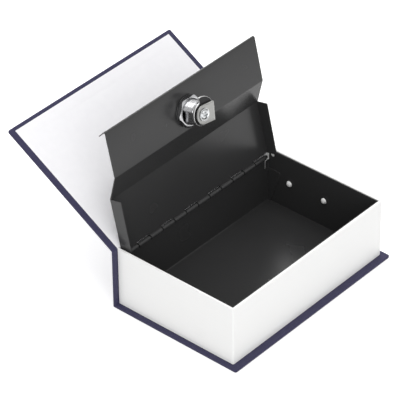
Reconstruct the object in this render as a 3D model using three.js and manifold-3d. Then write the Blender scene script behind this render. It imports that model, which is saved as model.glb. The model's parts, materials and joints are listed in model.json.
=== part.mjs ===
// Book diversion safe: a folded steel cash tray with a hinged, locking lid, hidden in a hollow book.
// Millimetres. X runs along the spine, Y from the fore edge (-) to the spine (+) and Z is up.
// The origin is the middle of the back cover's underside. Cover and lid stand open, as in use.
import * as THREE from 'three';
import * as BufferGeometryUtils from 'three/addons/utils/BufferGeometryUtils.js';
import Module from 'manifold-3d';

const wasm = await Module();
wasm.setup();

// Book case: two boards and a spine, wrapped in cloth and lined with paper
const coverLength = 180;
const coverWidth = 119.4;
const boardThick = 1.4;
const clothThick = 0.3;
const turnIn = 12;
const paperThick = 0.15;
const paperEndBorder = 4.6;
const paperForeBorder = 3.2;
const paperTuck = 1.5;
const coverCornerRadius = 1.8;
const jointWidth = 2.6;
const coverOpenDeg = 149;

// Page block: a moulded frame that looks like the edges of the pages
const pageLength = 172;
const pageWidth = 111;
const pageHeight = 50.5;
const pageWall = 1.9;
const pageFloor = 1.3;
const pageBackDrop = 10;
const pageCornerRadius = 1.5;

// Steel tray, folded from sheet
const sheet = 0.7;
const bendRadius = 1.1;
const rimDrop = 0.6;
const hingeDrop = 7.5;
const hingeInset = 1.9;
const hingeEndInset = 4;
const tabWidth = 12.6;
const tabTopDrop = 18.2;
const tabCornerRadius = 3;
const tabFootWidth = 3;
const reliefSlit = 1.5;
const reliefPost = 6.7;
const endNotch = 0.8;

// Hinge between tray and lid
const knuckleCount = 12;
const knuckleRadius = 1.9;
const knuckleBore = 1.0;
const knuckleGap = 1.0;
const notchEndClear = 0.8;
const trayNotchClear = 0.35;
const lidNotchClear = 1.2;
const pinRadius = 0.9;
const pinHeadRadius = 1.3;
const pinHeadLength = 0.8;
const pinPeenShare = 0.6;

// Lid, measured along the sheet from the hinge axis when it is shut
const lidOpenDeg = 103;
const lidEndClear = 0.4;
const lidFrontClear = 1.05;
const hingePanelRun = 47.3;
const stepRun = 19.8;
const stepDrop = 9.7;
const lipLength = 8.8;
const lipLeanDeg = 35.5;
const lidCornerRadius = 2;
const flangeDepth = 10.2;
const flangeStart = 3.3;
const flangeCornerRadius = 1.0;

// Cam lock, centred on the lid's length
const lockFromFront = 23.2;
const lockRadius = 9.3;
const lockFlat = 7.9;
const lockBodyLength = 13.6;
const headRadius = 11.6;
const headThick = 3.2;
const headBevel = 1.1;
const plugRadius = 6.0;
const plugRecess = 0.5;
const keywayWidth = 1.6;
const keywayHeight = 7.4;
const keywayDepth = 14;
const tailRadius = 4.2;
const tailFlat = 3.3;
const washerRadius = 12.0;
const washerThick = 0.6;
const nutAcrossFlats = 22.6;
const nutThick = 3.6;
const nutChamfer = 0.7;
const latchRadius = 13.4;
const latchThick = 1.5;
const latchHubRadius = 9.0;
const latchSpreadDeg = 100;
const camThick = 1.8;
const camHalfWidth = 7.6;
const camReach = 11.0;
const camScrewFlange = 4.9;
const camScrewFlangeThick = 0.4;
const camScrewRadius = 3.4;
const camScrewHead = 1.2;
const camScrewSocket = 0.8;
const camScrewSlot = 0.9;
const camScrewCrownShare = 0.7;
const camScrewSlotShare = 0.6;
const unlockedDeg = -8;

// Strike bracket on the tray's fore-edge wall, that the latch turns under
const strikeThick = 1.2;
const strikeWidth = 13;
const strikeSideClear = 1.6;
const strikeLegHeight = 11;
const strikeCatch = 3.0;
const strikeRivetDropShare = 0.6;
const strikeRivetShares = [0.25, 0.75];

// Rivets: four that fix the tray in the pages, two that fix the strike
const trayRivetHead = 2.6;
const trayRivetRise = 1.9;
const trayRivetShank = 1.3;
const trayRivetFromSpine = [23.7, 57.7];
const trayRivetDrop = 24.2;
const strikeRivetHead = 2.1;
const strikeRivetRise = 0.9;
const strikeRivetShank = 1.0;
const pinHoleRadius = 1.9;
const pinHoleFromSpine = 6.5;
const pinHoleDrop = 4.8;

// Clearances, and how finely curves are drawn
const seat = 0.3;
const glueLine = 0.1;
const trayClear = 0.15;
const overrun = 1;
const roundSides = 32;
const smallSides = 20;
const bendSteps = 4;
const cornerSteps = 5;
const latchSteps = 10;
const camSteps = 15;

// Places that follow from the sizes above
const caseThick = boardThick + 2 * clothThick + 2 * glueLine;
const paperStack = paperThick + 2 * glueLine;
const spineOuterY = coverWidth / 2;
const spineInnerY = spineOuterY - caseThick;
const pageSpineY = spineInnerY - paperStack;
const pageForeY = pageSpineY - pageWidth;
const pageBottomZ = caseThick + paperStack;
const pageTopZ = pageBottomZ + pageHeight;
const pageEndX = pageLength / 2;
const trayEndX = pageEndX - pageWall - trayClear;
const trayForeY = pageForeY + pageWall + trayClear;
const trayBottomZ = pageBottomZ + pageFloor + trayClear;
const trayTopZ = pageTopZ - rimDrop;
const hingeY = pageSpineY - hingeInset - sheet / 2;
const hingeZ = pageTopZ - hingeDrop;
const hingeLength = 2 * (trayEndX - hingeEndInset);
const lidEndX = trayEndX - sheet - lidEndClear;
const lidFrontRun = hingeY - trayForeY - sheet - lidFrontClear;
const lockPanelRun = lidFrontRun - hingePanelRun - stepRun;
const lockRun = lidFrontRun - lockFromFront;
const coverHingeY = spineOuterY - caseThick / 2;
const coverHingeZ = pageTopZ + seat;
const knucklePitch = hingeLength / knuckleCount;
const tabTopZ = pageTopZ - tabTopDrop;
const postTopZ = tabTopZ + reliefPost;
const strikeBoreY = pageForeY + pageWall / 2;

const rad = THREE.MathUtils.degToRad;
const vec = (x, y) => new THREE.Vector2(x, y);

// A closed three.js mesh becomes a solid that can be cut, and goes back again
function toSolid(geometry) {
  const bare = geometry.index ? geometry.toNonIndexed() : geometry.clone();
  bare.deleteAttribute('normal');
  bare.deleteAttribute('uv');
  const merged = BufferGeometryUtils.mergeVertices(bare);
  const mesh = new wasm.Mesh({
    numProp: 3,
    vertProperties: new Float32Array(merged.attributes.position.array),
    triVerts: new Uint32Array(merged.index.array),
  });
  return new wasm.Manifold(mesh);
}

function toGeometry(solid) {
  const mesh = solid.getMesh();
  const geometry = new THREE.BufferGeometry();
  geometry.setAttribute('position', new THREE.BufferAttribute(new Float32Array(mesh.vertProperties), 3));
  geometry.setIndex(new THREE.BufferAttribute(new Uint32Array(mesh.triVerts), 1));
  const flat = geometry.toNonIndexed();
  flat.computeVertexNormals();
  return flat;
}

function cutFrom(geometry, tools) {
  return toGeometry(tools.reduce((solid, tool) => solid.subtract(toSolid(tool)), toSolid(geometry)));
}

function joined(pieces) {
  return toGeometry(pieces.map(toSolid).reduce((whole, piece) => whole.add(piece)));
}

// A box between two corners
function block(x0, x1, y0, y1, z0, z1) {
  const box = new THREE.BoxGeometry(x1 - x0, y1 - y0, z1 - z0);
  return box.translate((x0 + x1) / 2, (y0 + y1) / 2, (z0 + z1) / 2);
}

// A flat outline given depth: along Z as it is drawn, or along X with its own axes on Y and Z
function raised(shape, z0, z1) {
  const options = { depth: z1 - z0, bevelEnabled: false, curveSegments: cornerSteps };
  return new THREE.ExtrudeGeometry(shape, options).translate(0, 0, z0);
}

function runAlongX(shape, x0, x1) {
  const turned = new THREE.Matrix4().makeBasis(
    new THREE.Vector3(0, 1, 0), new THREE.Vector3(0, 0, 1), new THREE.Vector3(1, 0, 0));
  return raised(shape, x0, x1).applyMatrix4(turned);
}

// A round rod along X or Y, from one place to another
function rodX(radius, x0, x1, y, z, sides = smallSides) {
  const rod = new THREE.CylinderGeometry(radius, radius, x1 - x0, sides);
  return rod.rotateZ(Math.PI / 2).translate((x0 + x1) / 2, y, z);
}

function rodY(radius, y0, y1, x, z, sides = smallSides) {
  return new THREE.CylinderGeometry(radius, radius, y1 - y0, sides).translate(x, (y0 + y1) / 2, z);
}

// A rectangle whose four corners each have a radius of their own, from the lower left one round
function roundedRect(x0, x1, y0, y1, radii) {
  const [a, b, c, d] = radii;
  const shape = new THREE.Shape();
  shape.moveTo(x0 + a, y0);
  shape.lineTo(x1 - b, y0);
  if (b > 0) shape.absarc(x1 - b, y0 + b, b, -Math.PI / 2, 0);
  shape.lineTo(x1, y1 - c);
  if (c > 0) shape.absarc(x1 - c, y1 - c, c, 0, Math.PI / 2);
  shape.lineTo(x0 + d, y1);
  if (d > 0) shape.absarc(x0 + d, y1 - d, d, Math.PI / 2, Math.PI);
  shape.lineTo(x0, y0 + a);
  if (a > 0) shape.absarc(x0 + a, y0 + a, a, Math.PI, 1.5 * Math.PI);
  return shape;
}

// The section of a bent sheet: a path of straight runs with an arc at each bend, given thickness
function foldedSection(points, thick, radius) {
  const left = [];
  const right = [];
  const place = (point, along) => {
    const side = vec(-along.y, along.x).multiplyScalar(thick / 2);
    left.push(point.clone().add(side));
    right.push(point.clone().sub(side));
  };
  const heading = (i) => points[i + 1].clone().sub(points[i]).normalize();
  place(points[0], heading(0));
  for (let i = 1; i < points.length - 1; i += 1) {
    const before = heading(i - 1);
    const after = heading(i);
    const turn = Math.atan2(before.cross(after), before.dot(after));
    const reach = radius * Math.tan(Math.abs(turn) / 2);
    const inward = vec(-before.y, before.x).multiplyScalar(Math.sign(turn) * radius);
    const centre = points[i].clone().addScaledVector(before, -reach).add(inward);
    for (let k = 0; k <= bendSteps; k += 1) {
      const angle = turn * k / bendSteps;
      const arm = inward.clone().negate().rotateAround(vec(0, 0), angle);
      place(centre.clone().add(arm), before.clone().rotateAround(vec(0, 0), angle));
    }
  }
  place(points.at(-1), heading(points.length - 2));
  return new THREE.Shape([...left, ...right.reverse()]);
}

// Materials, from the photograph
function finish(color, roughness, metalness) {
  return new THREE.MeshStandardMaterial({ color, roughness, metalness });
}
const navyCloth = finish(0x2b2a52, 0.85, 0);
const greyBoard = finish(0x9a948a, 0.9, 0);
const whitePaper = finish(0xf1f0f2, 0.8, 0);
const whitePages = finish(0xf4f3f1, 0.55, 0);
const blackPaint = finish(0x2a2b2d, 0.45, 0.1);
const brightSteel = finish(0xb8bbbe, 0.3, 1);
const chrome = finish(0xd8dadc, 0.12, 1);
const nickel = finish(0xb9b9b4, 0.35, 1);
const darkSteel = finish(0x3a3b3c, 0.4, 0.9);

function part(name, geometry, material) {
  const mesh = new THREE.Mesh(geometry, material);
  mesh.name = name;
  return mesh;
}

// Cover board and its cloth. Both lie flat between x0..x1 and y0..y1, on z = 0, inner face up.
// The cloth covers the outside and the edges, and is turned in round all four sides.
function wrappedBoard(x0, x1, y0, y1, radii) {
  const skin = clothThick;
  const hollow = clothThick + glueLine;
  const inset = (amount) => [x0 + amount, x1 - amount, y0 + amount, y1 - amount];
  const innerRadii = (amount) => radii.map((r) => Math.max(r - amount, 0));
  const outside = raised(roundedRect(x0, x1, y0, y1, radii), 0, caseThick);
  const room = raised(roundedRect(...inset(skin), innerRadii(skin)), skin, caseThick - skin);
  const window = block(...inset(turnIn), caseThick - skin - glueLine, caseThick + overrun);
  const board = raised(roundedRect(...inset(hollow), innerRadii(hollow)), hollow, hollow + boardThick);
  return { cloth: cutFrom(outside, [room, window]), board };
}

const object = new THREE.Group();

// Back cover, lying on the table
const backRadii = [coverCornerRadius, coverCornerRadius, 0, 0];
const back = wrappedBoard(-coverLength / 2, coverLength / 2, -coverWidth / 2, coverWidth / 2, backRadii);
object.add(part('back_cover_cloth', back.cloth, navyCloth));
object.add(part('back_board', back.board, greyBoard));

// Spine, standing on the back cover: drawn flat, then tipped up on its edge with its inside to the pages
const spineFootZ = caseThick + glueLine;
const spineHeight = pageTopZ - seat - spineFootZ;
const spine = wrappedBoard(-coverLength / 2, coverLength / 2, 0, spineHeight, [0, 0, 0, 0]);
const spineStand = new THREE.Group();
spineStand.rotation.x = Math.PI / 2;
spineStand.position.set(0, spineOuterY, spineFootZ);
spineStand.add(part('spine_cloth', spine.cloth, navyCloth));
spineStand.add(part('spine_board', spine.board, greyBoard));
object.add(spineStand);

// Paper linings glued over the turned-in cloth, hidden under the page block and behind it
const liningX = pageEndX - paperTuck;
const backLiningZ = caseThick + glueLine;
const backLining = block(
  -liningX, liningX, pageForeY + paperTuck, pageSpineY, backLiningZ, backLiningZ + paperThick);
object.add(part('back_lining_paper', backLining, whitePaper));
const spineLiningY = spineInnerY - glueLine - paperThick;
const spineLining = block(
  -liningX, liningX, spineLiningY, spineLiningY + paperThick, pageBottomZ, spineFootZ + spineHeight);
object.add(part('spine_lining_paper', spineLining, whitePaper));

// Page block: walls on a thin floor. The one at the spine stays below the hinge's knuckles
function pageBlock() {
  const outline = roundedRect(
    -pageEndX, pageEndX, pageForeY, pageSpineY, [pageCornerRadius, pageCornerRadius, 0, 0]);
  const outside = raised(outline, pageBottomZ, pageTopZ);
  const innerX = pageEndX - pageWall;
  const floorZ = pageBottomZ + pageFloor;
  const room = block(
    -innerX, innerX, pageForeY + pageWall, hingeY + sheet + trayClear, floorZ, pageTopZ + overrun);
  const hingeRoom = block(
    -innerX, innerX, hingeY, pageSpineY + overrun, pageTopZ - pageBackDrop, pageTopZ + overrun);
  return cutFrom(outside, [room, hingeRoom, ...rivetBores()]);
}

// Bores for the rivets: through the tray's walls and part of the way into the page block
const rivetSocketX = pageEndX - pageWall / 2;
const trayRivetZ = pageTopZ - trayRivetDrop;
const trayRivetY = trayRivetFromSpine.map((distance) => pageSpineY - distance);
function rivetBores() {
  const reach = trayEndX - sheet - overrun;
  const atEnds = [-1, 1].flatMap((side) => trayRivetY.map((y) => {
    const ends = [side * reach, side * rivetSocketX].sort((a, b) => a - b);
    return rodX(trayRivetShank + seat, ...ends, y, trayRivetZ);
  }));
  const atStrike = strikeRivetX.map((x) => rodY(
    strikeRivetShank + seat, strikeBoreY, strikeFaceY + strikeThick + overrun, x, strikeRivetZ));
  return [...atEnds, ...atStrike];
}

// Strike bracket: its ledge lies just above the turned latch, its leg is riveted to the tray's wall
const trayInnerForeY = trayForeY + sheet;
const lockY = hingeY - lockRun;
const latchTopZ = hingeZ - stepDrop - sheet / 2 - seat - lockBodyLength;
const ledgeZ = latchTopZ + seat;
const strikeFaceY = trayInnerForeY + seat;
const ledgeInnerY = lockY - latchRadius + strikeCatch;
const strikeMaxX = -strikeSideClear;
const strikeMinX = strikeMaxX - strikeWidth;
const strikeRivetX = strikeRivetShares.map((share) => strikeMinX + strikeWidth * share);
const strikeRivetZ = ledgeZ - strikeLegHeight * strikeRivetDropShare;
function strikeBracket() {
  const legY = strikeFaceY + strikeThick / 2;
  const topZ = ledgeZ + strikeThick / 2;
  const path = [vec(legY, ledgeZ - strikeLegHeight), vec(legY, topZ), vec(ledgeInnerY, topZ)];
  const bent = runAlongX(foldedSection(path, strikeThick, strikeThick), strikeMinX, strikeMaxX);
  return cutFrom(bent, strikeRivetX.map((x) => rodY(
    strikeRivetShank + seat, strikeFaceY - overrun, strikeFaceY + strikeThick + overrun, x, strikeRivetZ)));
}

// Knuckles alternate along the hinge: the lid has the first, the tray the last
function knuckleSpans(first) {
  const spans = [];
  for (let i = first; i < knuckleCount; i += 2) {
    const start = -hingeLength / 2 + i * knucklePitch;
    spans.push([start + knuckleGap / 2, start + knucklePitch - knuckleGap / 2]);
  }
  return spans;
}
const lidKnuckles = knuckleSpans(0);
const trayKnuckles = knuckleSpans(1);

// Where the other leaf's knuckles turn, a leaf is notched back from the hinge axis
function knuckleTubes(spans, y, z) {
  return spans.map(([x0, x1]) => rodX(knuckleRadius, x0, x1, y, z));
}
function knuckleNotches(spans, clear, y, z) {
  return spans.map(([x0, x1]) => rodX(knuckleRadius + clear, x0 - notchEndClear, x1 + notchEndClear, y, z));
}

// Steel tray: floor, fore-edge wall and back wall are one folded strip, with an end wall at each end
function steelTray() {
  const floorZ = trayBottomZ + sheet / 2;
  const foreY = trayForeY + sheet / 2;
  const path = [vec(foreY, trayTopZ), vec(foreY, floorZ), vec(hingeY, floorZ), vec(hingeY, hingeZ)];
  const stripEndX = trayEndX - sheet / 2;
  const strip = runAlongX(foldedSection(path, sheet, bendRadius), -stripEndX, stripEndX);
  const ends = [-1, 1].map((side) => endWall(side));
  const tabs = [-1, 1].map((side) => cornerTab(side));
  const reliefs = [-1, 1].map((side) => wallRelief(side));
  const notches = knuckleNotches(lidKnuckles, trayNotchClear, hingeY, hingeZ);
  const folded = cutFrom(strip, [...reliefs, ...notches]);
  const whole = joined([folded, ...ends, ...tabs, ...knuckleTubes(trayKnuckles, hingeY, hingeZ)]);
  const bore = rodX(knuckleBore, -hingeLength / 2 - overrun, hingeLength / 2 + overrun, hingeY, hingeZ);
  return cutFrom(whole, [bore, ...rivetBores()]);
}

// End wall: it just laps the back wall, and has a notch beside the hinge's end and a round hole
function endWall(side) {
  const [x0, x1] = [side * trayEndX, side * (trayEndX - sheet)].sort((a, b) => a - b);
  const backY = hingeY + sheet;
  const outline = roundedRect(trayForeY, backY, trayBottomZ, trayTopZ, [bendRadius, bendRadius, 0, 0]);
  const wall = runAlongX(outline, x0, x1);
  const holeY = pageSpineY - pinHoleFromSpine;
  const holeZ = pageTopZ - pinHoleDrop;
  const hole = rodX(pinHoleRadius, x0 - overrun, x1 + overrun, holeY, holeZ);
  const notch = block(
    x0 - overrun, x1 + overrun, hingeY - endNotch, backY + overrun, postTopZ, trayTopZ + overrun);
  return cutFrom(wall, [hole, notch]);
}

// Corner tab: folded off the back wall, it lies inside the end wall and tapers to the floor
function cornerTab(side) {
  const [x0, x1] = [side * (trayEndX - sheet), side * (trayEndX - 2 * sheet)].sort((a, b) => a - b);
  const farY = hingeY - tabWidth;
  const shape = new THREE.Shape();
  shape.moveTo(hingeY, trayBottomZ + sheet / 2);
  shape.lineTo(hingeY, tabTopZ);
  shape.lineTo(farY + tabCornerRadius, tabTopZ);
  shape.quadraticCurveTo(farY, tabTopZ, farY, tabTopZ - tabCornerRadius);
  shape.lineTo(hingeY - tabFootWidth, trayBottomZ + sheet / 2);
  const bite = side * sheet / 2;
  return runAlongX(shape, x0 + Math.min(bite, 0), x1 + Math.max(bite, 0));
}

// Relief at each end of the back wall: a slit above the tab, that leaves a short post beside the
// end wall, and nothing above the post
function wallRelief(side) {
  const inner = hingeLength / 2 - knuckleGap;
  const cut = (outer, z0) => {
    const [x0, x1] = [side * inner, side * outer].sort((a, b) => a - b);
    return block(x0, x1, hingeY - knuckleRadius, hingeY + knuckleRadius, z0, trayTopZ + overrun);
  };
  return joined([cut(inner + reliefSlit, tabTopZ), cut(trayEndX + overrun, postTopZ)]);
}

// Hinge pin: a rod through all the knuckles, peened over at both ends
function hingePin() {
  const reach = hingeLength / 2 + knuckleGap;
  const profile = [
    vec(0, -reach - pinHeadLength), vec(pinHeadRadius * pinPeenShare, -reach - pinHeadLength),
    vec(pinHeadRadius, -reach - pinHeadLength / 2), vec(pinHeadRadius, -reach), vec(pinRadius, -reach),
    vec(pinRadius, reach), vec(pinHeadRadius, reach), vec(pinHeadRadius, reach + pinHeadLength / 2),
    vec(pinHeadRadius * pinPeenShare, reach + pinHeadLength), vec(0, reach + pinHeadLength),
  ];
  return new THREE.LatheGeometry(profile, smallSides).rotateZ(Math.PI / 2).translate(0, hingeY, hingeZ);
}

// Rivet: a domed head and a shank, drawn along Y with the head at the top
function rivet(width, rise, shank, length) {
  const profile = [vec(0, -length), vec(shank, -length), vec(shank, 0), vec(width, 0)];
  for (let k = 1; k <= cornerSteps; k += 1) {
    const angle = Math.PI / 2 * k / cornerSteps;
    profile.push(vec(width * Math.cos(angle), rise * Math.sin(angle)));
  }
  profile[profile.length - 1].x = 0;
  return new THREE.LatheGeometry(profile, smallSides);
}

object.add(part('page_block', pageBlock(), whitePages));
object.add(part('steel_tray', steelTray(), blackPaint));
object.add(part('hinge_pin', hingePin(), darkSteel));
object.add(part('strike_bracket', strikeBracket(), brightSteel));

// Tray rivets: two through each end wall
const trayRivetSeatX = trayEndX - sheet - seat;
const trayRivetLength = rivetSocketX - seat - trayRivetSeatX;
[-1, 1].forEach((side) => trayRivetY.forEach((y, index) => {
  const body = rivet(trayRivetHead, trayRivetRise, trayRivetShank, trayRivetLength);
  body.rotateZ(side * Math.PI / 2).translate(side * trayRivetSeatX, y, trayRivetZ);
  const end = side < 0 ? 'head' : 'tail';
  object.add(part(`tray_rivet_${end}_${index + 1}`, body, whitePages));
}));

// Strike rivets: two through the bracket's leg
const strikeRivetSeatY = strikeFaceY + strikeThick + seat;
const strikeRivetLength = strikeRivetSeatY - strikeBoreY - seat;
strikeRivetX.forEach((x, index) => {
  const body = rivet(strikeRivetHead, strikeRivetRise, strikeRivetShank, strikeRivetLength);
  body.translate(x, strikeRivetSeatY, strikeRivetZ);
  object.add(part(`strike_rivet_${index + 1}`, body, brightSteel));
});

// Lid, drawn shut round the hinge axis: its sheet runs towards the fore edge (-Y) and steps down
const lid = new THREE.Group();
lid.position.set(0, hingeY, hingeZ);
lid.rotation.x = -rad(lidOpenDeg);
object.add(lid);

const lipLean = rad(lipLeanDeg);
function steelLid() {
  const path = [
    vec(0, 0), vec(-hingePanelRun, 0), vec(-hingePanelRun - stepRun, -stepDrop),
    vec(-lidFrontRun, -stepDrop),
    vec(-lidFrontRun + lipLength * Math.sin(lipLean), -stepDrop + lipLength * Math.cos(lipLean)),
  ];
  const strip = runAlongX(foldedSection(path, sheet, bendRadius), -lidEndX, lidEndX);
  const corners = [-1, 1].map((side) => lidCornerCut(side));
  const notches = knuckleNotches(trayKnuckles, lidNotchClear, 0, 0);
  const trimmed = cutFrom(strip, [lockHole(), lidHingeTrim(), ...corners, ...notches]);
  const flanges = [-1, 1].map((side) => lidFlange(side));
  const whole = joined([trimmed, ...flanges, ...knuckleTubes(lidKnuckles, 0, 0)]);
  const bore = rodX(knuckleBore, -hingeLength / 2 - overrun, hingeLength / 2 + overrun, 0, 0);
  return cutFrom(whole, [bore]);
}

// Beyond the hinge's ends the lid's sheet is cut back from the axis
function lidHingeTrim() {
  const beyond = [-1, 1].map((side) => {
    const [x0, x1] = [side * hingeLength / 2, side * (lidEndX + overrun)].sort((a, b) => a - b);
    return block(x0, x1, -flangeStart, overrun, -sheet, sheet);
  });
  return joined(beyond);
}

// The lock panel's outer corners are rounded off in plan
function lidCornerCut(side) {
  const r = lidCornerRadius;
  const frontY = -lidFrontRun - sheet;
  const shape = new THREE.Shape();
  shape.moveTo(side * lidEndX, frontY + r);
  shape.lineTo(side * (lidEndX + overrun), frontY + r);
  shape.lineTo(side * (lidEndX + overrun), frontY - overrun);
  shape.lineTo(side * (lidEndX - r), frontY - overrun);
  shape.lineTo(side * (lidEndX - r), frontY);
  shape.absarc(side * (lidEndX - r), frontY + r, r, -Math.PI / 2, side > 0 ? 0 : -Math.PI, side < 0);
  return raised(shape, -stepDrop - overrun, -stepDrop + sheet);
}

// Flange: turned down along each end of the hinge panel
function lidFlange(side) {
  const [x0, x1] = [side * lidEndX, side * (lidEndX - sheet)].sort((a, b) => a - b);
  const r = flangeCornerRadius;
  const outline = roundedRect(-hingePanelRun, -flangeStart, -flangeDepth, sheet / 2, [r, r, 0, 0]);
  return runAlongX(outline, x0, x1);
}

// Hole for the lock: round, with two flats that keep its body from turning
function flattedCircle(radius, flat) {
  const edge = Math.acos(flat / radius);
  const shape = new THREE.Shape();
  const steps = roundSides / 4;
  const points = [];
  for (const centre of [Math.PI / 2, 1.5 * Math.PI]) {
    const reach = Math.PI / 2 - edge;
    for (let k = 0; k <= steps; k += 1) {
      const angle = centre - reach + 2 * reach * k / steps;
      points.push(vec(radius * Math.cos(angle), radius * Math.sin(angle)));
    }
  }
  return shape.setFromPoints(points);
}

function lockHole() {
  const outline = flattedCircle(lockRadius + seat, lockFlat + seat);
  return raised(outline, -stepDrop - overrun, -stepDrop + overrun).translate(0, -lockRun, 0);
}

lid.add(part('steel_lid', steelLid(), blackPaint));

// Lock: drawn round its own axis with Z pointing into the safe, 0 at the lid's inner face
const lock = new THREE.Group();
lock.position.set(0, -lockRun, -stepDrop - sheet / 2);
lock.rotation.x = Math.PI;
lid.add(lock);

const lockFrontZ = -sheet - seat;
const lockEndZ = lockBodyLength;
function turned(profile, sides = roundSides) {
  return new THREE.LatheGeometry(profile, sides).rotateX(Math.PI / 2);
}

function lockBody() {
  const barrel = raised(flattedCircle(lockRadius, lockFlat), lockFrontZ - overrun, lockEndZ);
  const head = turned([
    vec(0, lockFrontZ - headThick), vec(headRadius - headBevel, lockFrontZ - headThick),
    vec(headRadius, lockFrontZ - headThick + headBevel), vec(headRadius, lockFrontZ), vec(0, lockFrontZ),
  ]);
  const bore = turned([
    vec(0, lockFrontZ - headThick - overrun), vec(plugRadius + seat, lockFrontZ - headThick - overrun),
    vec(plugRadius + seat, lockEndZ + overrun), vec(0, lockEndZ + overrun),
  ]);
  return cutFrom(joined([barrel, head]), [bore]);
}

function lockWasher() {
  const bore = lockRadius + seat;
  return turned([
    vec(bore, seat), vec(washerRadius, seat), vec(washerRadius, seat + washerThick),
    vec(bore, seat + washerThick), vec(bore, seat),
  ]);
}

// Hex nut: a six-sided prism whose corners are turned down to a chamfer on both faces
function lockNut() {
  const corner = nutAcrossFlats / 2 / Math.cos(Math.PI / 6);
  const z0 = washerThick + 2 * seat;
  const z1 = z0 + nutThick;
  const hex = new THREE.Shape();
  hex.setFromPoints([0, 1, 2, 3, 4, 5].map((k) => (
    vec(corner * Math.cos(k * Math.PI / 3), corner * Math.sin(k * Math.PI / 3)))));
  const edge = nutAcrossFlats / 2;
  const cone = turned([
    vec(0, z0), vec(edge, z0), vec(edge + nutChamfer * 2, z0 + nutChamfer),
    vec(edge + nutChamfer * 2, z1 - nutChamfer), vec(edge, z1), vec(0, z1),
  ]);
  const prism = toSolid(raised(hex, z0, z1)).intersect(toSolid(cone));
  const bore = turned([
    vec(0, z0 - overrun), vec(lockRadius + seat, z0 - overrun), vec(lockRadius + seat, z1 + overrun),
    vec(0, z1 + overrun),
  ]);
  return toGeometry(prism.subtract(toSolid(bore)));
}

lock.add(part('lock_body', lockBody(), chrome));
lock.add(part('lock_washer', lockWasher(), darkSteel));
lock.add(part('lock_nut', lockNut(), chrome));

// What the key turns: the plug with its flatted tail, the latch, the cam plate and their screw
const rotor = new THREE.Group();
rotor.rotation.z = rad(unlockedDeg);
lock.add(rotor);

const latchZ = lockEndZ + seat;
const camZ = latchZ + latchThick + seat;
const screwZ = camZ + camThick + seat;
const plugFrontZ = lockFrontZ - headThick + plugRecess;
const tailEndZ = camZ + camThick;
function lockPlug() {
  const barrel = turned([
    vec(0, plugFrontZ), vec(plugRadius, plugFrontZ), vec(plugRadius, lockEndZ), vec(0, lockEndZ),
  ]);
  const tail = raised(flattedCircle(tailRadius, tailFlat), lockEndZ - overrun, tailEndZ);
  const keyway = block(
    -keywayWidth / 2, keywayWidth / 2, -keywayHeight / 2, keywayHeight / 2,
    plugFrontZ - overrun, plugFrontZ + keywayDepth);
  const screwBore = turned([
    vec(0, tailEndZ - keywayWidth), vec(tailFlat / 2, tailEndZ - keywayWidth),
    vec(tailFlat / 2, tailEndZ + overrun), vec(0, tailEndZ + overrun),
  ], smallSides);
  return cutFrom(joined([barrel, tail]), [keyway, screwBore]);
}

// Latch: a hub with a quarter sector, that turns in under the strike
function tailHole(z0, z1) {
  return raised(flattedCircle(tailRadius + seat, tailFlat + seat), z0 - overrun, z1 + overrun);
}
function latchCam() {
  const hub = turned([
    vec(0, latchZ), vec(latchHubRadius, latchZ), vec(latchHubRadius, latchZ + latchThick),
    vec(0, latchZ + latchThick),
  ]);
  const spread = rad(latchSpreadDeg);
  const sector = new THREE.Shape();
  sector.moveTo(0, 0);
  sector.lineTo(latchRadius, 0);
  sector.absarc(0, 0, latchRadius, 0, spread);
  const options = { depth: latchThick, bevelEnabled: false, curveSegments: latchSteps };
  const wing = new THREE.ExtrudeGeometry(sector, options).translate(0, 0, latchZ);
  return cutFrom(joined([hub, wing]), [tailHole(latchZ, latchZ + latchThick)]);
}

// Cam plate: round about the axis, square at its reach
function camPlate() {
  const w = camHalfWidth;
  const shape = new THREE.Shape();
  shape.moveTo(camReach, -w);
  shape.lineTo(camReach, w);
  shape.lineTo(0, w);
  shape.absarc(0, 0, w, Math.PI / 2, 1.5 * Math.PI);
  const options = { depth: camThick, bevelEnabled: false, curveSegments: camSteps };
  const plate = new THREE.ExtrudeGeometry(shape, options).translate(0, 0, camZ);
  return cutFrom(plate, [tailHole(camZ, camZ + camThick)]);
}

function camScrew() {
  const shank = tailFlat / 2 - seat;
  const body = turned([
    vec(0, tailEndZ - keywayWidth + seat), vec(shank, tailEndZ - keywayWidth + seat), vec(shank, screwZ),
    vec(camScrewFlange, screwZ), vec(camScrewFlange, screwZ + camScrewFlangeThick),
    vec(camScrewRadius, screwZ + camScrewFlangeThick), vec(camScrewRadius, screwZ + camScrewHead / 2),
    vec(camScrewRadius * camScrewCrownShare, screwZ + camScrewHead), vec(0, screwZ + camScrewHead),
  ], smallSides);
  const half = camScrewSlot / 2;
  const reach = camScrewRadius * camScrewSlotShare;
  const z0 = screwZ + camScrewHead - camScrewSocket;
  const z1 = screwZ + camScrewHead + overrun;
  const slots = [block(-half, half, -reach, reach, z0, z1), block(-reach, reach, -half, half, z0, z1)];
  return cutFrom(body, slots);
}

rotor.add(part('lock_plug', lockPlug(), nickel));
rotor.add(part('latch_cam', latchCam(), darkSteel));
rotor.add(part('cam_plate', camPlate(), nickel));
rotor.add(part('cam_screw', camScrew(), brightSteel));

// Front cover, drawn shut and upside down to the back cover, swung open about the joint at the spine
const cover = new THREE.Group();
cover.position.set(0, coverHingeY, coverHingeZ);
cover.rotation.x = -rad(coverOpenDeg);
object.add(cover);

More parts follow.
